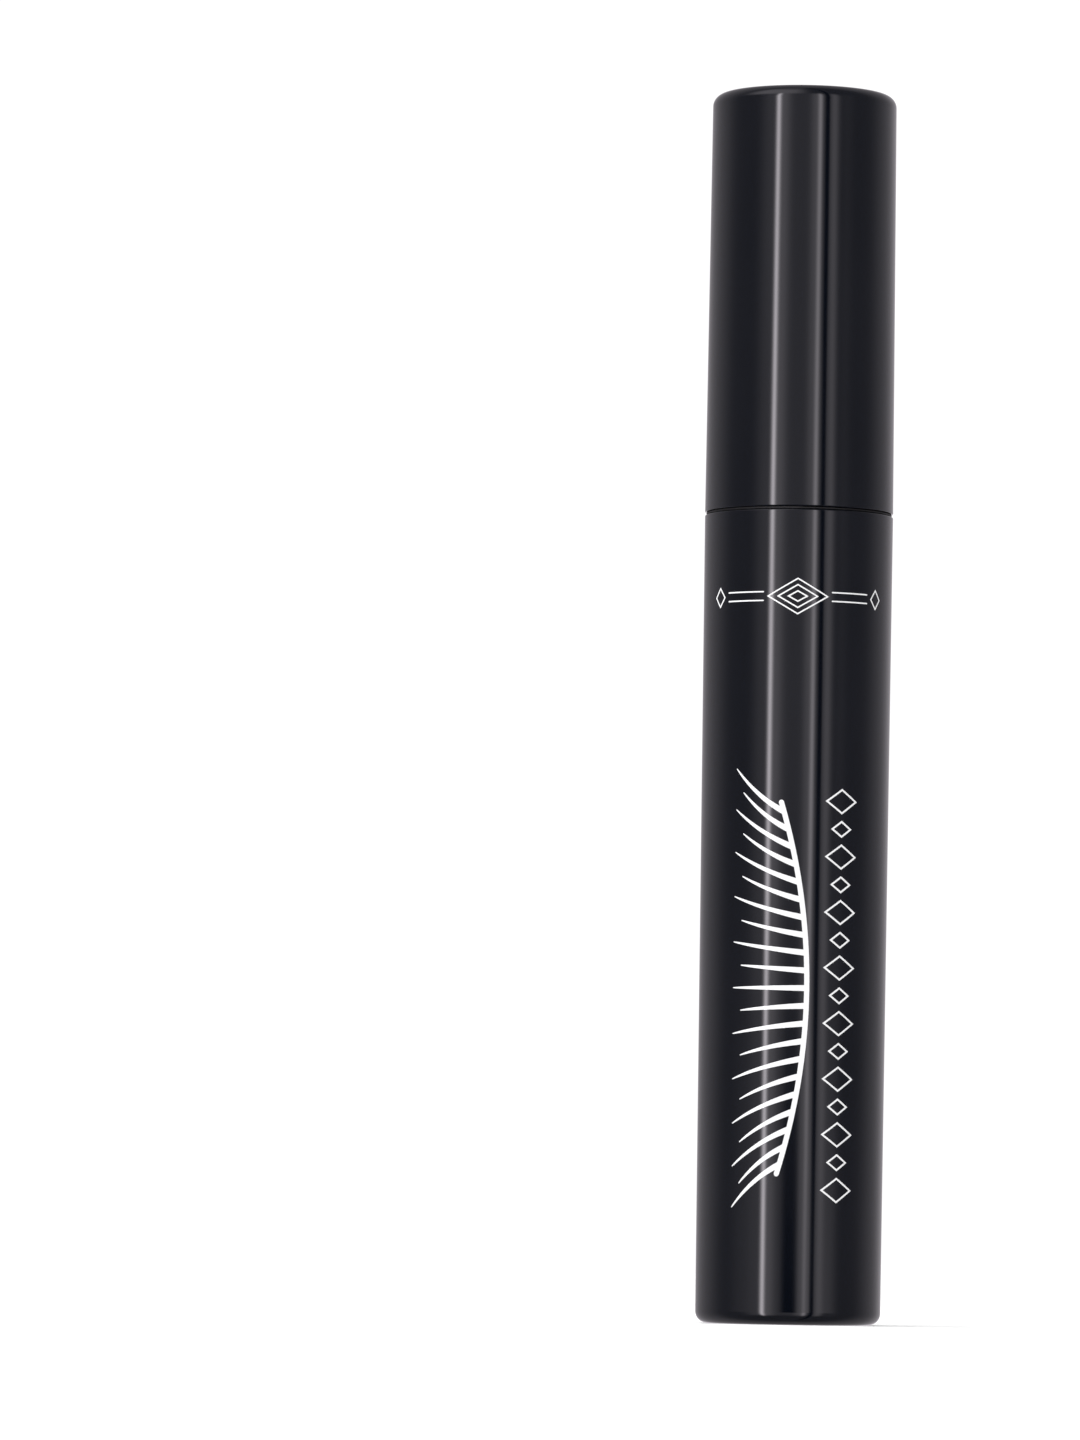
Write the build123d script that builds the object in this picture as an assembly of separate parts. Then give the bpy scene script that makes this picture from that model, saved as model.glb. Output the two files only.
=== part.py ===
from build123d import *
import math
import os

# A mascara: a double-walled bottle with a screw cap that carries the wand.
# Millimetres, +Z up. The tube stands closed on its base, and the origin is the
# centre of the base, on the surface that it stands on.

# Outside
seam_diameter = 18.25         # both shells are widest where they meet
end_diameter = 17.85          # and are drafted towards the base and the cap's top
body_length = 78.1
seam_gap = 0.3
cap_length = 40.8
end_corner_radius = 1.2
rim_corner_radius = 0.12
shell_bore_diameter = 15.8
sleeve_floor = 1.6
cap_roof = 1.5

# Wand, from the cap's rim downwards
stem_reach = 41.2
stem_diameter_at_cap = 3.49
stem_diameter_in_middle = 3.29
stem_diameter_at_brush = 3.43
stem_end_round = 0.5
brush_length = 23.7
brush_diameter_at_stem = 5.4
brush_diameter_widest = 6.05
brush_diameter_at_nose = 5.66
nose_start = 0.7              # share of the brush length where the nose begins
nose_length = 0.33            # share of the brush length, past the cut-off tip

# Twisted wire and its filaments
wire_diameter = 0.58
wire_lay_radius = 0.36        # from the wand's axis to the middle of each strand
wire_pitch = 2.9
wire_stake_depth = 8.0
wire_tip_setback = 0.2
filament_diameter = 0.12
filament_spacing = 0.13

# Neck and screw thread: right-handed, one start
neck_root_diameter = 11.5
neck_bore_diameter = 9.4
neck_height = 13.25
thread_lead = 3.0
thread_depth = 0.55
thread_foot_width = 1.5
thread_crest_width = 0.7
thread_root_sink = 0.15       # how far a ridge's foot is buried in its wall
thread_start_height = 2.85    # above the shoulder
neck_thread_turns = 2.1
cap_thread_turns = 1.5

# Inner bottle
vial_diameter = 13.4
vial_wall = 1.1
vial_floor = 1.3
vial_lift = 8.8               # the vial hangs from its shoulder, clear of the sleeve's floor
shoulder_thickness = 2.55
shoulder_recess = 0.35        # below the sleeve's rim
vial_taper_height = 2.0

# Wiper
wiper_lip_diameter = 11.1
wiper_lip_thickness = 0.8
wiper_wall = 0.65
wiper_sleeve_length = 5.0
wiper_funnel_length = 4.8
wiper_throat_length = 1.2
wiper_orifice_diameter = 3.8
wiper_throat_wall = 0.55

# Rings
washer_thickness = 0.97
washer_outer_diameter = 10.8
washer_bore_diameter = 3.9
washer_clearance = 0.03       # on each face, with the cap closed
ring_bore_diameter = 13.2
ring_foot_diameter = 15.6
ring_foot_clearance = 0.02
ring_flange_diameter = 17.95
ring_flange_clearance = 0.03  # under the flange and over it, with the cap closed
ring_edge_radius = 0.08

# Inner cap
inner_cap_setback = 0.2       # above the cap's rim
inner_cap_bore_diameter = 13.0
inner_cap_skirt_diameter = 14.7
inner_cap_collar_height = 4.0
inner_cap_collar_slope = 0.6
inner_cap_pocket_diameter = 12.8
inner_cap_disc_thickness = 1.75
boss_diameter = 7.4
socket_diameter = 4.8
socket_length = 10.15
stub_length = 9.65

# Contents and label
paste_level = 62.0
paste_well_diameter = 6.6
paste_well_floor = 2.8
label_diameter = 12.4
label_recess_diameter = 12.7
label_recess_depth = 0.15
label_thickness = 0.08

# Heights that follow
rim_z = body_length
cap_rim_z = rim_z + seam_gap
top_z = cap_rim_z + cap_length
shoulder_z = rim_z - shoulder_recess
neck_top_z = shoulder_z + neck_height
lip_z = neck_top_z + wiper_lip_thickness
ceiling_z = lip_z + washer_thickness + 2 * washer_clearance
stem_end_z = cap_rim_z - stem_reach
brush_tip_z = stem_end_z - brush_length
wire_top_z = stem_end_z + wire_stake_depth
wire_bottom_z = brush_tip_z + wire_tip_setback
stake_bore_diameter = 2 * wire_lay_radius + wire_diameter + 0.04


def turned(*outline):
    """Turn a closed outline of (radius, height, corner radius) points about Z."""
    points = [(radius, height) for radius, height, _ in outline]
    corners = [corner for _, _, corner in outline]
    loop = FilletPolyline(*points, radius=corners, close=True)
    return revolve(Plane.XZ * make_face(loop), Axis.Z)


def thread_ridge(wall_radius, outward, start_z, turns):
    """A right-handed helical ridge on a round wall, standing outward or inward."""
    side = 1 if outward else -1
    foot_radius = wall_radius - side * thread_root_sink
    crest_radius = wall_radius + side * thread_depth
    section = Polyline(
        (foot_radius, start_z - thread_foot_width / 2),
        (foot_radius, start_z + thread_foot_width / 2),
        (crest_radius, start_z + thread_crest_width / 2),
        (crest_radius, start_z - thread_crest_width / 2),
        close=True,
    )
    path = Helix(thread_lead, thread_lead * turns, wall_radius, center=(0, 0, start_z))
    return sweep(Plane.XZ * make_face(section), path, is_frenet=True)


def outer_sleeve():
    """The glossy outer shell of the bottle: closed base, open rim."""
    end_radius = end_diameter / 2
    bore_radius = shell_bore_diameter / 2
    recess_radius = label_recess_diameter / 2
    return turned(
        (0, label_recess_depth, 0),
        (recess_radius, label_recess_depth, 0),
        (recess_radius, 0, 0.05),
        (end_radius, 0, end_corner_radius),
        (seam_diameter / 2, rim_z, rim_corner_radius),
        (bore_radius, rim_z, rim_corner_radius / 2),
        (bore_radius, sleeve_floor, 1.0),
        (0, sleeve_floor, 0),
    )


def base_label():
    """A blank round sticker in the recess under the base."""
    radius = label_diameter / 2
    low_z = label_recess_depth - label_thickness
    return turned((0, low_z, 0), (radius, low_z, 0), (radius, label_recess_depth, 0),
                  (0, label_recess_depth, 0))


def inner_bottle():
    """The vial that holds the paste: shoulder pressed in the sleeve, threaded neck."""
    vial_radius = vial_diameter / 2
    inside_radius = vial_radius - vial_wall
    neck_radius = neck_root_diameter / 2
    bore_radius = neck_bore_diameter / 2
    shoulder_radius = shell_bore_diameter / 2
    shoulder_low_z = shoulder_z - shoulder_thickness
    body = turned(
        (0, vial_lift, 0),
        (vial_radius, vial_lift, 1.8),
        (vial_radius, shoulder_low_z, 0),
        (shoulder_radius, shoulder_low_z, 0.3),
        (shoulder_radius, shoulder_z, 0.2),
        (neck_radius, shoulder_z, 0.25),
        (neck_radius, neck_top_z, 0.25),
        (bore_radius, neck_top_z, 0),
        (bore_radius, shoulder_low_z, 0),
        (inside_radius, shoulder_low_z - vial_taper_height, 0.5),
        (inside_radius, vial_lift + vial_floor, 1.2),
        (0, vial_lift + vial_floor, 0),
    )
    start_z = shoulder_z + thread_start_height
    return body + thread_ridge(neck_radius, True, start_z, neck_thread_turns)


def wiper():
    """The soft insert in the neck: a lip on the neck's rim, a funnel and an orifice."""
    outer_radius = neck_bore_diameter / 2
    inner_radius = outer_radius - wiper_wall
    orifice_radius = wiper_orifice_diameter / 2
    throat_radius = orifice_radius + wiper_throat_wall
    funnel_top_z = neck_top_z - wiper_sleeve_length
    throat_top_z = funnel_top_z - wiper_funnel_length
    throat_low_z = throat_top_z - wiper_throat_length
    return turned(
        (wiper_lip_diameter / 2, neck_top_z, 0),
        (wiper_lip_diameter / 2, lip_z, 0.2),
        (inner_radius, lip_z, 0.3),
        (inner_radius, funnel_top_z, 0.5),
        (orifice_radius, throat_top_z, 0.3),
        (orifice_radius, throat_low_z, 0.1),
        (throat_radius, throat_low_z, 0.1),
        (throat_radius, throat_top_z, 0.3),
        (outer_radius, funnel_top_z, 0.5),
        (outer_radius, neck_top_z, 0),
    )


def mascara_fill():
    """The paste in the vial, with the well that the brush stands in."""
    radius = vial_diameter / 2 - vial_wall
    well_radius = paste_well_diameter / 2
    floor_z = vial_lift + vial_floor
    well_z = floor_z + paste_well_floor
    return turned(
        (0, floor_z, 0),
        (radius, floor_z, 1.2),
        (radius, paste_level, 0),
        (well_radius, paste_level, 0.6),
        (well_radius, well_z, 0.8),
        (0, well_z, 0),
    )


def shoulder_ring():
    """The thin dark ring that fills the seam: a foot on the shoulder, a flange over the rim."""
    inner_radius = ring_bore_diameter / 2
    foot_radius = ring_foot_diameter / 2
    flange_radius = ring_flange_diameter / 2
    foot_z = shoulder_z + ring_foot_clearance
    flange_z = rim_z + ring_flange_clearance
    high_z = cap_rim_z - ring_flange_clearance
    return turned(
        (inner_radius, foot_z, ring_edge_radius),
        (foot_radius, foot_z, ring_edge_radius),
        (foot_radius, flange_z, 0),
        (flange_radius, flange_z, ring_edge_radius),
        (flange_radius, high_z, ring_edge_radius),
        (inner_radius, high_z, ring_edge_radius),
    )


def sealing_washer():
    """The loose soft washer on the stem, squeezed on the wiper's lip by the cap."""
    low_z = lip_z + washer_clearance
    inner_radius = washer_bore_diameter / 2
    outer_radius = washer_outer_diameter / 2
    high_z = low_z + washer_thickness
    return turned((inner_radius, low_z, 0.1), (outer_radius, low_z, 0.15),
                  (outer_radius, high_z, 0.15), (inner_radius, high_z, 0.1))


def cap_shell():
    """The glossy outer shell of the cap: closed top, open rim."""
    bore_radius = shell_bore_diameter / 2
    roof_z = top_z - cap_roof
    return turned(
        (bore_radius, cap_rim_z, rim_corner_radius / 2),
        (seam_diameter / 2, cap_rim_z, rim_corner_radius),
        (end_diameter / 2, top_z, end_corner_radius),
        (0, top_z, 0),
        (0, roof_z, 0),
        (bore_radius, roof_z, 0.8),
    )


def inner_cap():
    """The threaded insert pressed in the cap, with the socket for the wand."""
    collar_radius = shell_bore_diameter / 2
    skirt_radius = inner_cap_skirt_diameter / 2
    bore_radius = inner_cap_bore_diameter / 2
    pocket_radius = inner_cap_pocket_diameter / 2
    boss_radius = boss_diameter / 2
    socket_radius = socket_diameter / 2
    low_z = cap_rim_z + inner_cap_setback
    low_collar_z = low_z + inner_cap_collar_height
    high_z = ceiling_z + socket_length
    high_collar_z = high_z - inner_cap_collar_height
    disc_z = ceiling_z + inner_cap_disc_thickness
    body = turned(
        (bore_radius, low_z, 0.3),
        (collar_radius, low_z, 0.3),
        (collar_radius, low_collar_z, 0),
        (skirt_radius, low_collar_z + inner_cap_collar_slope, 0),
        (skirt_radius, high_collar_z - inner_cap_collar_slope, 0),
        (collar_radius, high_collar_z, 0),
        (collar_radius, high_z, 0.3),
        (pocket_radius, high_z, 0),
        (pocket_radius, disc_z, 0.5),
        (boss_radius, disc_z, 0.5),
        (boss_radius, high_z, 0.2),
        (socket_radius, high_z, 0.2),
        (socket_radius, ceiling_z, 0),
        (bore_radius, ceiling_z, 0.5),
    )
    start_z = shoulder_z + thread_start_height + thread_lead / 2
    return body + thread_ridge(bore_radius, False, start_z, cap_thread_turns)


def rod():
    """The wand's stem: a stub pressed in the inner cap and a slightly waisted shaft."""
    stub_radius = socket_diameter / 2
    stake_radius = stake_bore_diameter / 2
    top_radius = stem_diameter_at_cap / 2
    middle_z = (stem_end_z + cap_rim_z) / 2
    return turned(
        (stake_radius, stem_end_z, 0.08),
        (stem_diameter_at_brush / 2, stem_end_z, stem_end_round),
        (stem_diameter_in_middle / 2, middle_z, 3.0),
        (top_radius, cap_rim_z, 3.0),
        (top_radius, ceiling_z, 0),
        (stub_radius, ceiling_z, 0),
        (stub_radius, ceiling_z + stub_length, 0.4),
        (0, ceiling_z + stub_length, 0),
        (0, wire_top_z, 0),
        (stake_radius, wire_top_z, 0),
    )


def wire_angle(z):
    """Direction, in degrees, of the first strand from the axis at a height: left-handed."""
    return -360 * (z - wire_bottom_z) / wire_pitch


def brush_wire():
    """Two strands of one folded wire, twisted left-handed and staked in the stem."""
    spare = wire_diameter
    low_z = wire_bottom_z - spare
    length = wire_top_z - wire_bottom_z + 2 * spare
    path = Helix(wire_pitch, length, wire_lay_radius, center=(0, 0, low_z), lefthand=True)
    strand = sweep(Plane(path @ 0, z_dir=path % 0) * Circle(wire_diameter / 2), path,
                   is_frenet=True)
    strand = Rot(0, 0, wire_angle(low_z)) * strand
    height = wire_top_z - wire_bottom_z
    kept = Pos(0, 0, wire_bottom_z) * Cylinder(
        2, height, align=(Align.CENTER, Align.CENTER, Align.MIN))
    strand = strand & kept
    return Compound([strand.solid(), (Rot(0, 0, 180) * strand).solid()])


def brush_radius(share):
    """Radius of the brush at a share of its length, from the stem to the tip."""
    stem_radius = brush_diameter_at_stem / 2
    wide_radius = brush_diameter_widest / 2
    nose_radius = brush_diameter_at_nose / 2
    if share < 0.04:
        return stem_radius + (wide_radius - stem_radius) * share / 0.04
    if share < nose_start:
        return wide_radius + (nose_radius - wide_radius) * (share - 0.04) / (nose_start - 0.04)
    return nose_radius * math.sqrt(1 - ((share - nose_start) / nose_length) ** 2)


def bristles():
    """Nylon filaments, each held across the middle between the two strands."""
    count = int((brush_length - wire_tip_setback) / filament_spacing)
    filaments = []
    for index in range(count):
        z = wire_bottom_z + filament_spacing * (index + 0.5)
        reach = brush_radius((stem_end_z - z) / brush_length)
        across = Rot(0, 0, wire_angle(z) + 90) * Rot(0, 90, 0)
        filaments.append(Pos(0, 0, z) * across * Cylinder(filament_diameter / 2, 2 * reach))
    return Compound([filament.solid() for filament in filaments])


nodes = {
    "outer_sleeve": outer_sleeve,
    "base_label": base_label,
    "inner_bottle": inner_bottle,
    "wiper": wiper,
    "mascara_fill": mascara_fill,
    "shoulder_ring": shoulder_ring,
    "sealing_washer": sealing_washer,
    "cap_shell": cap_shell,
    "inner_cap": inner_cap,
    "rod": rod,
    "brush_wire": brush_wire,
    "bristles": bristles,
}

os.makedirs("parts", exist_ok=True)
for name, make in nodes.items():
    export_step(make(), f"parts/{name}.step")
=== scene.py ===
import math
import random

import bmesh
import bpy
from mathutils import Matrix, Vector


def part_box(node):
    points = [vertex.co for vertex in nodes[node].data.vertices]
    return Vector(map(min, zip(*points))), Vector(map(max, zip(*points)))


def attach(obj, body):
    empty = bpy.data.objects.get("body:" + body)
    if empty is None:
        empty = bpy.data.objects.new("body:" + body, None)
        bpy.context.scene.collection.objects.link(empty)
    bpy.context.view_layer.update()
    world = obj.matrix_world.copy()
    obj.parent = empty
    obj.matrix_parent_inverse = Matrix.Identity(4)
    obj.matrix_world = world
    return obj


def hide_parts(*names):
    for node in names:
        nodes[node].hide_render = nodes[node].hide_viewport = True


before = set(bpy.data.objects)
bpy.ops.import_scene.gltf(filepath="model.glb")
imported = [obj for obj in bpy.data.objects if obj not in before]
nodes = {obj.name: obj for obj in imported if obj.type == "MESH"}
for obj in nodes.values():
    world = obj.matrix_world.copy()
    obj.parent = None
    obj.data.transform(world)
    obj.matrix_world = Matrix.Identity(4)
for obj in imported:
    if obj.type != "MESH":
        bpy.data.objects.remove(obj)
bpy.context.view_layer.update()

MM = 0.001

# Places taken from the frame
sleeve_low, sleeve_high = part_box("outer_sleeve")
cap_low, cap_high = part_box("cap_shell")
rod_low, rod_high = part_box("rod")
wire_low, wire_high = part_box("brush_wire")
bristles_low, bristles_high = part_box("bristles")
RIM_Z = sleeve_high.z
CAP_RIM_Z = cap_low.z
TOP_Z = cap_high.z

# Shells: widest at the seam, drafted towards both ends
SEAM_RADIUS = 9.125 * MM
END_RADIUS = 8.925 * MM
BORE_RADIUS = 7.9 * MM
SLEEVE_FLOOR = 1.6 * MM
CAP_ROOF = 1.5 * MM
LABEL_RECESS_RADIUS = 6.35 * MM
LABEL_RECESS_DEPTH = 0.15 * MM


# ---------------------------------------------------------------- mesh helpers

def rounded(corners, steps=8):
    """Points of a closed outline whose (radius, height, corner radius) corners are arcs."""
    points = []
    count = len(corners)
    for index, (x, y, size) in enumerate(corners):
        here = Vector((x, y))
        if size <= 0:
            points.append(here)
            continue
        before = Vector(corners[index - 1][:2])
        after = Vector(corners[(index + 1) % count][:2])
        back = (before - here).normalized()
        ahead = (after - here).normalized()
        half = back.angle(ahead) / 2
        reach = size / math.tan(half)
        centre = here + (back + ahead).normalized() * (size / math.sin(half))
        start = here + back * reach - centre
        turn = start.angle_signed(here + ahead * reach - centre)
        for step in range(steps + 1):
            spun = start.copy()
            spun.rotate(Matrix.Rotation(-turn * step / steps, 2))
            points.append(centre + spun)
    return points


def supported(points, margin, longest):
    """The same closed outline with extra points beside its corners and along its long sides."""
    result = []
    count = len(points)
    for index, here in enumerate(points):
        after = points[(index + 1) % count]
        length = (after - here).length
        result.append(here)
        if length > 4 * margin:
            inner = max(1, math.ceil(length / longest))
            shares = [margin / length, *[k / inner for k in range(1, inner)], 1 - margin / length]
            result.extend(here.lerp(after, share) for share in shares)
    return result


def lathe(name, outline, segments):
    """A closed outline of (radius, height) points turned about Z; points on the axis close to a fan."""
    mesh = bmesh.new()
    rings = []
    for point in outline:
        if abs(point.x) < 1e-9:
            rings.append([mesh.verts.new((0, 0, point.y))])
            continue
        ring = []
        for step in range(segments):
            angle = 2 * math.pi * step / segments
            ring.append(mesh.verts.new((point.x * math.cos(angle), point.x * math.sin(angle), point.y)))
        rings.append(ring)
    for index, low in enumerate(rings):
        high = rings[(index + 1) % len(rings)]
        if len(low) == 1 and len(high) == 1:
            continue
        for step in range(segments):
            after = (step + 1) % segments
            if len(low) == 1:
                mesh.faces.new((low[0], high[after], high[step]))
            elif len(high) == 1:
                mesh.faces.new((low[step], low[after], high[0]))
            else:
                mesh.faces.new((low[step], low[after], high[after], high[step]))
    return finished(name, mesh)


def finished(name, mesh, smooth=True):
    """An object from a bmesh, with its faces turned outwards."""
    bmesh.ops.recalc_face_normals(mesh, faces=mesh.faces)
    for face in mesh.faces:
        face.smooth = smooth
    data = bpy.data.meshes.new(name)
    mesh.to_mesh(data)
    mesh.free()
    piece = bpy.data.objects.new(name, data)
    bpy.context.scene.collection.objects.link(piece)
    return piece


# ------------------------------------------------------------------- materials

def new_material(name):
    """An empty node material: its tree, its Principled shader and an object-space coordinate."""
    material = bpy.data.materials.new(name)
    material.use_nodes = True
    tree = material.node_tree
    shader = tree.nodes["Principled BSDF"]
    place = tree.nodes.new("ShaderNodeTexCoord")
    return material, tree, shader, place.outputs["Object"]


def noise(tree, place, scale, detail=3, stretch=(1, 1, 1), roughness=0.5):
    """Fractal noise in object space, stretched along an axis by a scale under 1."""
    mapping = tree.nodes.new("ShaderNodeMapping")
    mapping.inputs["Scale"].default_value = stretch
    tree.links.new(place, mapping.inputs["Vector"])
    texture = tree.nodes.new("ShaderNodeTexNoise")
    texture.inputs["Scale"].default_value = scale
    texture.inputs["Detail"].default_value = detail
    texture.inputs["Roughness"].default_value = roughness
    tree.links.new(mapping.outputs["Vector"], texture.inputs["Vector"])
    return texture.outputs["Fac"]


def spread(tree, value, low, high, from_low=0.3, from_high=0.7):
    """A 0..1 texture value mapped to a range."""
    node = tree.nodes.new("ShaderNodeMapRange")
    node.inputs["From Min"].default_value = from_low
    node.inputs["From Max"].default_value = from_high
    node.inputs["To Min"].default_value = low
    node.inputs["To Max"].default_value = high
    tree.links.new(value, node.inputs["Value"])
    return node.outputs["Result"]


def two_tone(tree, value, dark, light):
    """A colour between two, chosen by a 0..1 value."""
    node = tree.nodes.new("ShaderNodeMix")
    node.data_type = "RGBA"
    node.inputs["A"].default_value = (*dark, 1)
    node.inputs["B"].default_value = (*light, 1)
    tree.links.new(value, node.inputs["Factor"])
    return node.outputs["Result"]


def bump(tree, shader, layers):
    """Bump layers as (height value, strength, distance), chained into the shader's normal."""
    normal = None
    for height, strength, distance in layers:
        node = tree.nodes.new("ShaderNodeBump")
        node.inputs["Strength"].default_value = strength
        node.inputs["Distance"].default_value = distance
        tree.links.new(height, node.inputs["Height"])
        if normal is not None:
            tree.links.new(normal, node.inputs["Normal"])
        normal = node.outputs["Normal"]
    tree.links.new(normal, shader.inputs["Normal"])


def moulded_plastic(name, dark, light, rough_low, rough_high, grain=9000, grain_depth=0.01 * MM,
                    wave_depth=0.0, ior=1.49):
    """Moulded plastic: faint colour drift, uneven polish, fine grain and a slow surface wave."""
    material, tree, shader, place = new_material(name)
    drift = noise(tree, place, 160, 4, (1, 1, 0.35))
    polish = noise(tree, place, 700, 5, (1, 1, 0.2))
    fine = noise(tree, place, grain, 2)
    tree.links.new(two_tone(tree, spread(tree, drift, 0, 1), dark, light), shader.inputs["Base Color"])
    tree.links.new(spread(tree, polish, rough_low, rough_high), shader.inputs["Roughness"])
    layers = [(fine, 0.25, grain_depth)]
    if wave_depth:
        slow = noise(tree, place, 55, 2, (1, 1, 0.18))
        layers.append((slow, 0.6, wave_depth))
    bump(tree, shader, layers)
    shader.inputs["IOR"].default_value = ior
    return material


def paint(piece, material):
    """Gives a piece one material."""
    piece.data.materials.clear()
    piece.data.materials.append(material)


gloss_black = moulded_plastic("gloss_black", (0.0014, 0.0024, 0.0052), (0.0027, 0.0036, 0.0066),
                              0.035, 0.075, grain=14000, grain_depth=0.0008 * MM,
                              wave_depth=0.02 * MM)
satin_black = moulded_plastic("satin_black", (0.006, 0.006, 0.007), (0.011, 0.011, 0.013),
                              0.26, 0.40, grain_depth=0.004 * MM)
rod_black = moulded_plastic("rod_black", (0.0020, 0.0020, 0.0030), (0.0045, 0.0042, 0.0056),
                            0.12, 0.24, grain_depth=0.002 * MM)
vial_plastic = moulded_plastic("vial_plastic", (0.50, 0.51, 0.50), (0.62, 0.63, 0.61), 0.22, 0.34)
wiper_plastic = moulded_plastic("wiper_plastic", (0.70, 0.70, 0.66), (0.82, 0.82, 0.79), 0.30, 0.45)
washer_foam = moulded_plastic("washer_foam", (0.62, 0.62, 0.60), (0.76, 0.76, 0.74), 0.6, 0.8,
                              grain=5000, grain_depth=0.03 * MM)
# Black rubber, made darker than real rubber as painted shade for the gap at the seam
ring_rubber = moulded_plastic("ring_rubber", (0.003, 0.003, 0.004), (0.006, 0.006, 0.007), 0.5, 0.65)
paste_black = moulded_plastic("paste_black", (0.003, 0.003, 0.004), (0.006, 0.006, 0.008), 0.12, 0.3,
                              grain=1500, grain_depth=0.08 * MM)
label_paper = moulded_plastic("label_paper", (0.74, 0.74, 0.72), (0.84, 0.84, 0.82), 0.5, 0.65)
white_ink = moulded_plastic("white_ink", (0.84, 0.84, 0.85), (0.91, 0.91, 0.92), 0.30, 0.45)


# ----------------------------------------------------------------- outer shells

SHELL_SEGMENTS = 288
CORNER = 1.2 * MM
RIM_CORNER = 0.12 * MM


def smooth_shell(name, corners):
    """One glossy shell, with support rings so that its long sides shade flat up to the corners."""
    outline = supported(rounded(corners, 12), 0.06 * MM, 6 * MM)
    return lathe(name, outline, SHELL_SEGMENTS)


sleeve = smooth_shell("sleeve_gloss", [
    (0, LABEL_RECESS_DEPTH, 0),
    (LABEL_RECESS_RADIUS, LABEL_RECESS_DEPTH, 0.04 * MM),
    (LABEL_RECESS_RADIUS, 0, 0.05 * MM),
    (END_RADIUS, 0, CORNER),
    (SEAM_RADIUS, RIM_Z, RIM_CORNER),
    (BORE_RADIUS, RIM_Z, RIM_CORNER / 2),
    (BORE_RADIUS, SLEEVE_FLOOR, 1.0 * MM),
    (0, SLEEVE_FLOOR, 0),
])
paint(sleeve, gloss_black)
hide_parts("outer_sleeve")
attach(sleeve, "bottle")

cap = smooth_shell("cap_gloss", [
    (BORE_RADIUS, CAP_RIM_Z, RIM_CORNER / 2),
    (SEAM_RADIUS, CAP_RIM_Z, RIM_CORNER),
    (END_RADIUS, TOP_Z, CORNER),
    (0, TOP_Z, 0),
    (0, TOP_Z - CAP_ROOF, 0),
    (BORE_RADIUS, TOP_Z - CAP_ROOF, 0.8 * MM),
])
paint(cap, gloss_black)
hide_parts("cap_shell")
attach(cap, "cap")


# --------------------------------------------------------------------- printing

INK_LIFT = 0.018 * MM
INK_SINK = 0.01 * MM
INK_LEVEL = 0.003 * MM            # keeps crossing strokes apart
FINE_LINE = 0.13                  # stroke widths, in mm
LOZENGE_LINE = 0.17


def on_sleeve(turn, height, lift):
    """A point on the sleeve: turn in mm round from the front, to the viewer's right, and height in mm."""
    radius = END_RADIUS + (SEAM_RADIUS - END_RADIUS) * height * MM / RIM_Z + lift
    angle = turn * MM / SEAM_RADIUS
    return Vector((radius * math.sin(angle), -radius * math.cos(angle), height * MM))


def stroke(mesh, line, widths, level=0, closed=False):
    """One raised ribbon of ink along a line of (turn, height) points in mm."""
    count = len(line)
    rows = []
    lift = INK_LIFT + level * INK_LEVEL
    for index, here in enumerate(line):
        before = line[index - 1] if closed or index else here
        after = line[(index + 1) % count] if closed or index < count - 1 else here
        back = (here - before).normalized() if before is not here else (after - here).normalized()
        ahead = (after - here).normalized() if after is not here else back
        along = (back + ahead).normalized()
        side = Vector((-along.y, along.x))
        mitre = 1 / max(0.35, side.dot(Vector((-back.y, back.x))))
        reach = side * (widths[index] / 2 * mitre)
        left, right = here + reach, here - reach
        rows.append([
            mesh.verts.new(on_sleeve(left.x, left.y, -INK_SINK)),
            mesh.verts.new(on_sleeve(left.x, left.y, lift)),
            mesh.verts.new(on_sleeve(right.x, right.y, lift)),
            mesh.verts.new(on_sleeve(right.x, right.y, -INK_SINK)),
        ])
    pairs = count if closed else count - 1
    for index in range(pairs):
        a, b = rows[index], rows[(index + 1) % count]
        for k in range(4):
            mesh.faces.new((a[k], a[(k + 1) % 4], b[(k + 1) % 4], b[k]))
    if not closed:
        mesh.faces.new(rows[0])
        mesh.faces.new(rows[-1])


def with_round_ends(line, width):
    """The line with half-circle ends: returns its points and the width at each."""
    first, last = line[0], line[-1]
    start_way = (line[0] - line[1]).normalized()
    end_way = (line[-1] - line[-2]).normalized()
    shares = [0.15, 0.5, 0.8, 0.95, 0.995]
    points, widths = [], []
    for share in reversed(shares):
        points.append(first + start_way * (width / 2 * share))
        widths.append(width * math.sqrt(1 - share * share))
    points += line
    widths += [width] * len(line)
    for share in shares:
        points.append(last + end_way * (width / 2 * share))
        widths.append(width * math.sqrt(1 - share * share))
    return points, widths


def divided(corners, longest, closed=False):
    """Points along straight runs, close enough together to follow the round surface."""
    points = []
    runs = len(corners) if closed else len(corners) - 1
    for index in range(runs):
        here, after = Vector(corners[index]), Vector(corners[(index + 1) % len(corners)])
        pieces = max(1, math.ceil((after - here).length / longest))
        points += [here.lerp(after, k / pieces) for k in range(pieces)]
    if not closed:
        points.append(Vector(corners[-1]))
    return points


def ink_piece(name, mesh):
    """Finishes a piece of printing and fixes it to the bottle."""
    piece = finished(name, mesh, smooth=False)
    paint(piece, white_ink)
    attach(piece, "bottle")


def lozenge(mesh, turn, height, half_turn, half_height, width, longest):
    """One outlined lozenge round a point on the sleeve."""
    corners = [(turn - half_turn, height), (turn, height - half_height),
               (turn + half_turn, height), (turn, height + half_height)]
    points = divided(corners, longest, closed=True)
    stroke(mesh, points, [width] * len(points), closed=True)


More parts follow.
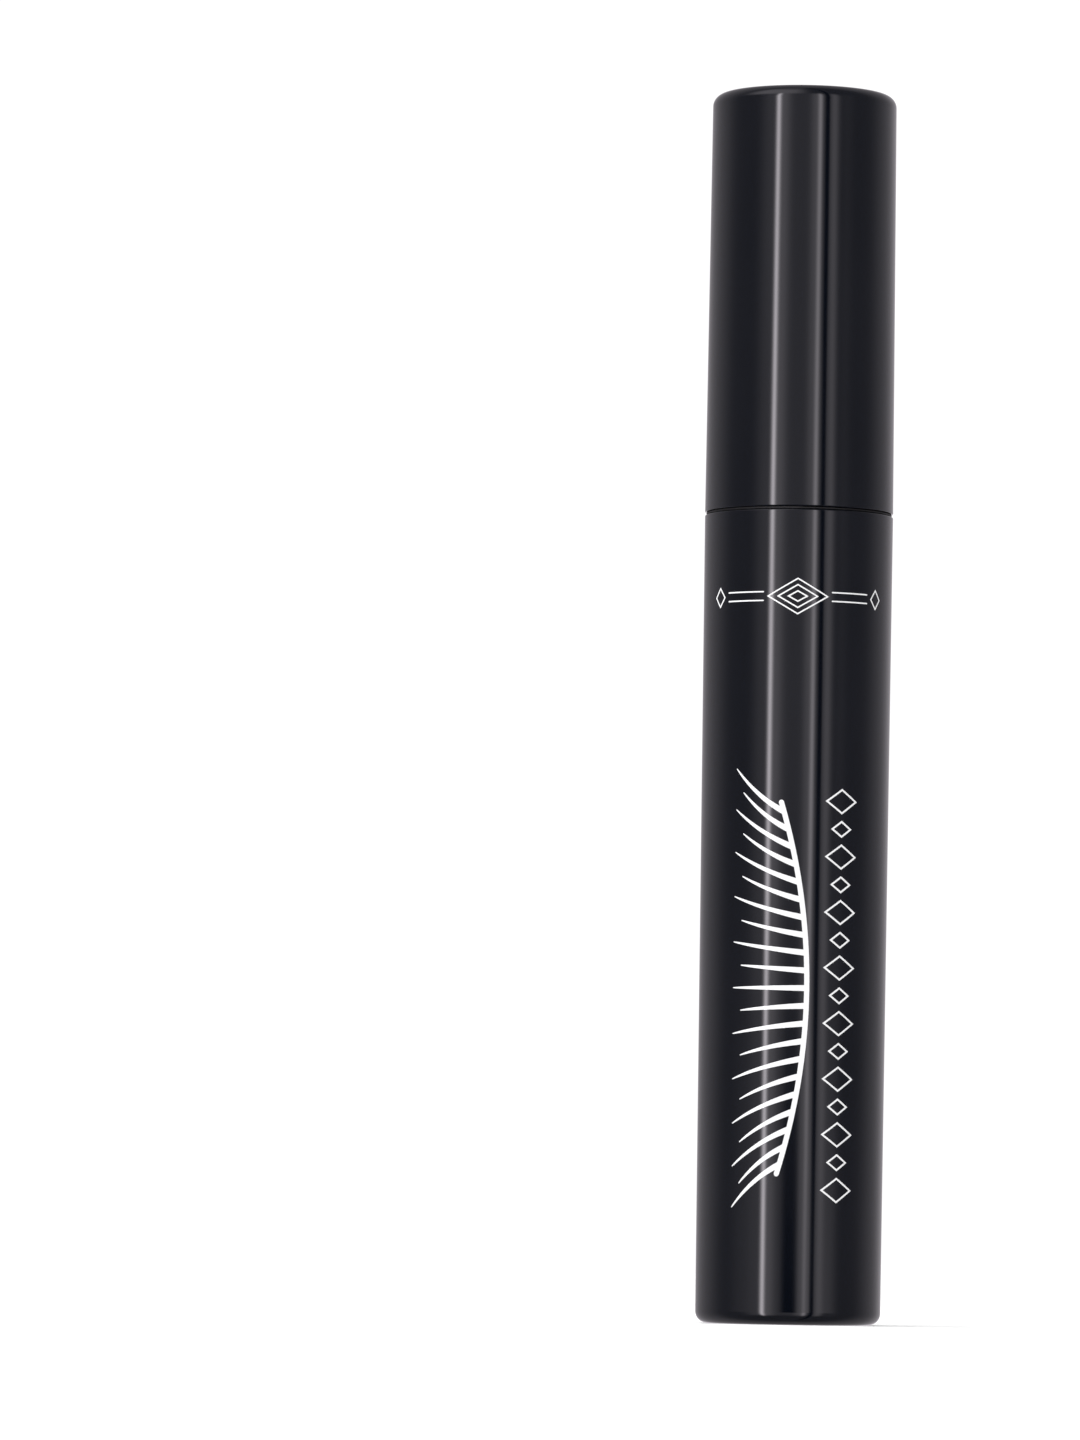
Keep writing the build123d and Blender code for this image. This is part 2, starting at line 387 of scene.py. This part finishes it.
def lash_motif():
    """A closed lid seen side-on, running up the tube, with lashes that sweep to the left."""
    mesh = bmesh.new()
    low, high = 14.4, 49.9
    middle, half = (low + high) / 2, (high - low) / 2

    def lid(share):
        return Vector((-1.3 + 2.7 * (1 - share * share), middle + half * share))

    line = [lid(-1 + 2 * k / 60) for k in range(61)]
    points, widths = with_round_ends(line, 0.5)
    stroke(mesh, points, widths)
    lashes = 21
    for index in range(lashes):
        share = -0.95 + 1.9 * index / (lashes - 1)
        length = 7.6 - 2.2 * share * share - (0.9 if index % 2 else 0)
        curl = 1.7 * share
        lean = math.radians(28 * share)
        path, thick = [], []
        for step in range(19):
            t = step / 18
            reach = Vector((-math.cos(lean), math.sin(lean))) * (length * t)
            path.append(lid(share) + reach + Vector((0, curl * t * t)))
            thick.append(0.08 + 0.50 * (1 - t) ** 0.7)
        stroke(mesh, path, thick, level=1)
    ink_piece("print_lashes", mesh)


def bead_column():
    """A column of outlined lozenges up the tube, beside the lashes."""
    mesh = bmesh.new()
    count = 15
    turn = 4.75
    low, high = 12.9, 50.1
    for index in range(count):
        height = low + (high - low) * index / (count - 1)
        half_turn, half_height = (1.0, 0.72) if index % 2 else (1.6, 1.12)
        lozenge(mesh, turn, height, half_turn, half_height, LOZENGE_LINE, 0.45)
    ink_piece("print_lozenges", mesh)


def top_mark():
    """A fine-line mark near the rim: nested lozenges, with two rules and a small lozenge each side."""
    mesh = bmesh.new()
    height = 69.7
    for half_turn, half_height in ((2.9, 1.7), (1.9, 1.1), (0.9, 0.5)):
        lozenge(mesh, 0, height, half_turn, half_height, FINE_LINE, 0.4)
    for side in (-1, 1):
        for above in (0.42, -0.42):
            line = divided([(side * 3.4, height + above), (side * 7.4, height + above)], 0.4)
            points, widths = with_round_ends(line, FINE_LINE)
            stroke(mesh, points, widths)
        lozenge(mesh, side * 8.7, height, 0.7, 0.9, FINE_LINE, 0.4)
    ink_piece("print_rim_mark", mesh)


lash_motif()
bead_column()
top_mark()


# ------------------------------------------------------------------------ brush

WIRE_PITCH = 2.9 * MM
STEM_END_Z = rod_low.z
BRUSH_LENGTH = 23.7 * MM
FILAMENT_ROOT = 0.2 * MM          # distance from the axis where a filament leaves the wire
NOSE_START = 0.7                  # share of the brush's length
random.seed(7)


def wire_angle(z):
    """Direction of the first strand at a height: the twist is left-handed."""
    return -2 * math.pi * (z - wire_low.z) / WIRE_PITCH


def brush_radius(share):
    """Radius of the brush at a share of its length, from the stem to the tip."""
    if share < 0.04:
        return (2.7 + 0.325 * share / 0.04) * MM
    if share < NOSE_START:
        return (3.025 - 0.195 * (share - 0.04) / 0.66) * MM
    return 2.83 * MM * math.sqrt(max(0, 1 - ((share - NOSE_START) / 0.33) ** 2))


def filament(mesh, path, radii, sides=4):
    """A thin fibre along a path, with a radius at each point, closed at both ends."""
    rings = []
    for index, here in enumerate(path):
        along = (path[min(index + 1, len(path) - 1)] - path[max(index - 1, 0)]).normalized()
        across = along.cross(Vector((0, 0, 1))).normalized()
        up = along.cross(across)
        ring = []
        for side in range(sides):
            angle = 2 * math.pi * side / sides
            ring.append(mesh.verts.new(
                here + (across * math.cos(angle) + up * math.sin(angle)) * radii[index]))
        rings.append(ring)
    for low, high in zip(rings, rings[1:]):
        for side in range(sides):
            after = (side + 1) % sides
            mesh.faces.new((low[side], low[after], high[after], high[side]))
    mesh.faces.new(rings[-1])
    mesh.faces.new(reversed(rings[0]))


def brush(name, material, count, turned, scatter, root, tip):
    """Fine filaments in the double spiral that the twisted wire holds them in.

    The spiral is turned from the wire's first strand by an angle, each filament scatters from it by
    some degrees, and the filament's radius goes from root to tip.
    """
    mesh = bmesh.new()
    clumps = [[random.gauss(0, 0.10 * MM) for _ in range(4)] for _ in range(count // 6 + 2)]
    for index in range(count):
        share = (index + 0.5) / count
        z = STEM_END_Z - share * BRUSH_LENGTH + 0.1 * MM * (1 - 2 * share)
        for side in (0, 1):
            off = random.gauss(0, math.radians(scatter))
            angle = wire_angle(z) + turned + side * math.pi + off
            reach = brush_radius(share) * (0.95 + 0.05 * math.cos(min(1.4, abs(off)) * 2))
            reach *= min(1.0, random.gauss(0.988, 0.015))
            out = Vector((math.cos(angle), math.sin(angle), 0))
            clump = clumps[index // 6]
            sideways = Vector((-out.y, out.x, 0)) * (clump[side] + random.gauss(0, 0.05 * MM))
            lift = Vector((0, 0, clump[2 + side] + random.gauss(0, 0.08 * MM)))
            path, radii = [], []
            for step in range(5):
                t = step / 4
                path.append(Vector((0, 0, z)) + out * (FILAMENT_ROOT + (reach - FILAMENT_ROOT) * t)
                            + (sideways + lift) * t * t)
                radii.append(tip + (root - tip) * (1 - t) ** 2)
            radii[-1] *= 0.8
            filament(mesh, path, radii)
    piece = finished(name, mesh)
    paint(piece, material)
    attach(piece, "cap")
    return piece


def clinging_paste():
    """Paste held between the filaments: two uneven webs that wind round the wire."""
    mesh = bmesh.new()
    turns = BRUSH_LENGTH / WIRE_PITCH
    steps = int(turns * 54)
    half_thickness = 0.30 * MM
    upper = [(0.1, 0.35), (0.25, 0.5), (0.5, 0.8), (0.7, 0.85), (0.88, 0.65)]
    lower = [(reach, -thick) for reach, thick in reversed(upper)]
    rim = [*upper, (0.96, 0.0), *lower]
    for side in (0, 1):
        rows = []
        for step in range(steps + 1):
            share = 0.012 + 0.972 * step / steps
            z = STEM_END_Z - share * BRUSH_LENGTH
            angle = wire_angle(z) + math.pi / 2 + side * math.pi
            uneven = 1 + 0.05 * math.sin(step * 0.41 + side) * math.sin(step * 0.173)
            size = brush_radius(share) * uneven
            row = []
            for reach, thick in rim:
                wander = random.gauss(0, 0.018 * MM)
                ridge = 1 + 0.18 * math.sin(step * 1.3 + reach * 9 + side)
                row.append(mesh.verts.new((
                    math.cos(angle) * (size * reach + wander),
                    math.sin(angle) * (size * reach + wander),
                    z + thick * half_thickness * ridge * min(1, size / (2.2 * MM)) + wander)))
            rows.append(row)
        for a, b in zip(rows, rows[1:]):
            for k in range(len(rim)):
                after = (k + 1) % len(rim)
                mesh.faces.new((a[k], a[after], b[after], b[k]))
        mesh.faces.new(rows[0])
        mesh.faces.new(rows[-1])
    piece = finished("brush_paste", mesh)
    paint(piece, brush_paste)
    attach(piece, "cap")


def paste_and_shade_wire():
    """Bright drawn wire, black towards the axis: paste in its crevices, and painted shade on the strands'
    inner sides.
    """
    material, tree, shader, place = new_material("paste_and_shade_wire")
    split = tree.nodes.new("ShaderNodeSeparateXYZ")
    tree.links.new(place, split.inputs[0])
    flat = tree.nodes.new("ShaderNodeCombineXYZ")
    tree.links.new(split.outputs["X"], flat.inputs["X"])
    tree.links.new(split.outputs["Y"], flat.inputs["Y"])
    distance = tree.nodes.new("ShaderNodeVectorMath")
    distance.operation = "LENGTH"
    tree.links.new(flat.outputs[0], distance.inputs[0])
    uneven = tree.nodes.new("ShaderNodeMath")
    uneven.operation = "MULTIPLY_ADD"
    uneven.inputs[1].default_value = 0.12 * MM
    tree.links.new(noise(tree, place, 1800, 4), uneven.inputs[0])
    tree.links.new(distance.outputs["Value"], uneven.inputs[2])
    # painted shade and paste: black within about 0.27 mm of the axis, bright metal beyond about 0.37 mm
    bare_and_lit = spread(tree, uneven.outputs[0], 0, 1, 0.27 * MM, 0.37 * MM)
    drawn = noise(tree, place, 5000, 3, (1, 1, 0.3))
    colour = two_tone(tree, bare_and_lit, (0.006, 0.006, 0.010), (0.72, 0.69, 0.62))
    tree.links.new(colour, shader.inputs["Base Color"])
    tree.links.new(bare_and_lit, shader.inputs["Metallic"])
    tree.links.new(spread(tree, drawn, 0.16, 0.34), shader.inputs["Roughness"])
    bump(tree, shader, [(drawn, 0.3, 0.006 * MM)])
    return material


nylon = moulded_plastic("nylon_filaments", (0.004, 0.004, 0.013), (0.014, 0.012, 0.034), 0.20, 0.34,
                        grain=12000, grain_depth=0.003 * MM, ior=1.75)
brush_paste = moulded_plastic("brush_paste", (0.003, 0.003, 0.010), (0.010, 0.008, 0.026), 0.14, 0.34,
                              grain=3500, grain_depth=0.10 * MM, ior=1.7)
for wet in (nylon, brush_paste):
    shader = wet.node_tree.nodes["Principled BSDF"]
    shader.inputs["Coat Weight"].default_value = 0.3
    shader.inputs["Coat Roughness"].default_value = 0.12
    shader.inputs["Sheen Weight"].default_value = 0.03
    shader.inputs["Sheen Roughness"].default_value = 0.3
    shader.inputs["Sheen Tint"].default_value = (0.82, 0.76, 0.95, 1)
# Light lilac-white filaments: painted highlight, a lit copy of the dark nylon that stands for the light
# rows on black bristles
painted_highlight_nylon = moulded_plastic("painted_highlight_nylon", (0.42, 0.37, 0.52), (0.94, 0.88, 0.97), 0.22, 0.40,
                             grain=9000, grain_depth=0.003 * MM, ior=1.6)
brush_wire_metal = paste_and_shade_wire()
coated = brush("brush_filaments", nylon, 1000, math.pi / 2, 23, 0.064 * MM, 0.050 * MM)
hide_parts("bristles")
# these filaments carry the painted highlight colour
brush("brush_highlight_filaments", painted_highlight_nylon, 600, math.pi, 22, 0.024 * MM, 0.054 * MM)
clinging_paste()


# ----------------------------------------------------------- carried-over parts

for node, material in (
    ("inner_bottle", vial_plastic), ("wiper", wiper_plastic), ("mascara_fill", paste_black),
    ("shoulder_ring", ring_rubber), ("sealing_washer", washer_foam), ("inner_cap", satin_black),
    ("rod", rod_black), ("brush_wire", brush_wire_metal), ("base_label", label_paper),
):
    nodes[node].data.materials.clear()
    nodes[node].data.materials.append(material)


# ------------------------------------------------------------------------ stage

def wrapped(tree, azimuth, centre):
    """Signed angle from a centre, in degrees, going the short way round."""
    shift = tree.nodes.new("ShaderNodeMath")
    shift.operation = "SUBTRACT"
    shift.inputs[1].default_value = centre
    tree.links.new(azimuth, shift.inputs[0])
    turn = tree.nodes.new("ShaderNodeMath")
    turn.operation = "WRAP"
    turn.inputs[1].default_value = 180
    turn.inputs[2].default_value = -180
    tree.links.new(shift.outputs[0], turn.inputs[0])
    return turn.outputs[0]


def studio_world():
    """A white room: plain to the eye, stronger from the left for soft light, strips for reflections."""
    world = bpy.data.worlds.new("studio")
    bpy.context.scene.world = world
    world.use_nodes = True
    tree = world.node_tree
    tree.nodes.clear()
    place = tree.nodes.new("ShaderNodeTexCoord")
    split = tree.nodes.new("ShaderNodeSeparateXYZ")
    tree.links.new(place.outputs["Generated"], split.inputs[0])

    def math_node(operation, a, b=None):
        node = tree.nodes.new("ShaderNodeMath")
        node.operation = operation
        for socket, value in zip(node.inputs, (a, b)):
            if value is None:
                continue
            if isinstance(value, (int, float)):
                socket.default_value = value
            else:
                tree.links.new(value, socket)
        return node.outputs[0]

    def plateau(ratio, power):
        """1 where the ratio is 0, falling to 1/e where it is 1 or -1."""
        size = math_node("ABSOLUTE", ratio)
        return math_node("EXPONENT", math_node("MULTIPLY", math_node("POWER", size, power), -1))

    back = math_node("MULTIPLY", split.outputs["Y"], -1)
    azimuth = math_node("MULTIPLY", math_node("ARCTAN2", split.outputs["X"], back), 180 / math.pi)

    def bump_at(centre, width, power=2):
        """1 at the centre, falling to 1/e at the width; a higher power has flatter tops."""
        return plateau(math_node("DIVIDE", wrapped(tree, azimuth, centre), width), power)

    # centre azimuth, width, brightness, edge power: degrees from the front, to the viewer's right
    strips = [
        (-32.5, 2.9, 8.4, 2),
        (-26.5, 9.0, 1.1, 2),
        (-43.0, 12.0, 0.42, 2),
        (0.0, 30.0, 0.30, 4),
        (14.5, 6.5, 0.75, 2),
        (19.8, 3.0, 3.0, 2),
        (38.0, 6.0, 1.1, 2),
        (55.0, 9.0, 0.12, 2),
        (152.0, 20.0, 0.14, 2),
        (180.0, 9.0, 0.5, 4),
    ]
    total = None
    for centre, width, brightness, power in strips:
        strip = math_node("MULTIPLY", bump_at(centre, width, power), brightness)
        total = strip if total is None else math_node("ADD", total, strip)
    # the strips stop a little above and below the horizon
    level = plateau(math_node("DIVIDE", split.outputs["Z"], 0.48), 6)
    total = math_node("MULTIPLY", total, level)
    ambient = math_node("ADD", 0.22, math_node("MULTIPLY", bump_at(180.0, 80.0, 8), 0.28))
    total = math_node("ADD", total, ambient)
    gap = math_node("SUBTRACT", 1, math_node("MULTIPLY", bump_at(29.0, 2.8, 4), 0.95))
    total = math_node("MULTIPLY", total, gap)
    # a large soft box, high at the front left
    height = math_node("DIVIDE", math_node("SUBTRACT", split.outputs["Z"], 0.70), 0.26)
    high = plateau(height, 4)
    softbox = math_node("MULTIPLY", math_node("MULTIPLY", bump_at(-42.0, 40.0, 4), high), 1.5)
    total = math_node("ADD", total, softbox)
    # low down, the bands widen and something dark stands in front of the middle of the tube
    low = plateau(math_node("DIVIDE", math_node("SUBTRACT", split.outputs["Z"], -0.03), 0.055), 4)
    low_changes = [
        (19.8, 3.0, -1.4),
        (24.5, 2.6, 0.8),
        (48.0, 10.0, 0.5),
        (-62.0, 13.0, 0.2),
    ]
    for centre, width, brightness in low_changes:
        change = math_node("MULTIPLY", math_node("MULTIPLY", bump_at(centre, width, 2), low), brightness)
        total = math_node("ADD", total, change)
    trough = math_node("MULTIPLY", math_node("MULTIPLY", bump_at(0.5, 10.0, 4), low), 0.97)
    total = math_node("MULTIPLY", total, math_node("SUBTRACT", 1, trough))

    rays = tree.nodes.new("ShaderNodeLightPath")
    reflections = tree.nodes.new("ShaderNodeBackground")
    tree.links.new(total, reflections.inputs["Strength"])
    reflections.inputs["Color"].default_value = (1.0, 0.945, 1.005, 1)
    room = tree.nodes.new("ShaderNodeBackground")
    room.inputs["Color"].default_value = (1, 1, 1, 1)
    room.inputs["Strength"].default_value = 1.06
    window = tree.nodes.new("ShaderNodeBackground")
    window.inputs["Color"].default_value = (1, 1, 1, 1)
    tree.links.new(math_node("SUBTRACT", 1.06, math_node("MULTIPLY", split.outputs["X"], 0.8)),
                   window.inputs["Strength"])

    def choose(ray, otherwise, chosen):
        mix = tree.nodes.new("ShaderNodeMixShader")
        tree.links.new(rays.outputs[ray], mix.inputs["Fac"])
        tree.links.new(otherwise, mix.inputs[1])
        tree.links.new(chosen, mix.inputs[2])
        return mix.outputs[0]

    surface = choose("Is Diffuse Ray", room.outputs[0], window.outputs[0])
    surface = choose("Is Glossy Ray", surface, reflections.outputs[0])
    output = tree.nodes.new("ShaderNodeOutputWorld")
    tree.links.new(surface, output.inputs["Surface"])


def white_floor():
    """A wide pale floor under the tube, which glows a little so that shadows on it stay faint."""
    mesh = bmesh.new()
    bmesh.ops.create_circle(mesh, cap_ends=True, segments=128, radius=4.0)
    floor = finished("studio_floor", mesh)
    material, tree, shader, place = new_material("floor_paper")
    tone = noise(tree, place, 30, 3)
    paper = two_tone(tree, tone, (0.93, 0.93, 0.93), (0.96, 0.96, 0.96))
    tree.links.new(paper, shader.inputs["Base Color"])
    shader.inputs["Roughness"].default_value = 0.9
    shader.inputs["Specular IOR Level"].default_value = 0.0
    shader.inputs["Emission Color"].default_value = (1, 1, 1, 1)
    shader.inputs["Emission Strength"].default_value = 0.12
    paint(floor, material)
    floor.visible_glossy = False


def photo_camera():
    """The photograph's view: from near the floor, looking slightly up, the tube at the right."""
    data = bpy.data.cameras.new("camera")
    camera = bpy.data.objects.new("camera", data)
    bpy.context.scene.collection.objects.link(camera)
    bpy.context.scene.camera = camera
    data.sensor_width = 36
    data.lens = 210.8
    data.clip_end = 100
    data.clip_start = 0.01
    camera.location = (0, -0.815, 0.007)
    yaw = math.radians(1.743)
    pitch = math.radians(3.58)
    roll = math.radians(0.93)
    camera.matrix_world = (
        Matrix.Translation(camera.location)
        @ Matrix.Rotation(yaw, 4, "Z")
        @ Matrix.Rotation(math.pi / 2 + pitch, 4, "X")
        @ Matrix.Rotation(roll, 4, "Z")
    )


def soft_light(name, place, target, width, height, power):
    """A large soft area light, unseen by the camera and in reflections."""
    data = bpy.data.lights.new(name, "AREA")
    data.shape = "RECTANGLE"
    data.size = width
    data.size_y = height
    data.energy = power
    light = bpy.data.objects.new(name, data)
    bpy.context.scene.collection.objects.link(light)
    light.location = place
    light.rotation_euler = (Vector(target) - Vector(place)).to_track_quat("-Z", "Y").to_euler()
    light.visible_camera = False
    light.visible_glossy = False


studio_world()
white_floor()
photo_camera()
soft_light("overhead_softbox", (-0.25, -0.3, 0.9), (0, 0, 0.06), 0.7, 0.7, 2.0)
bpy.context.scene.view_settings.view_transform = "Standard"
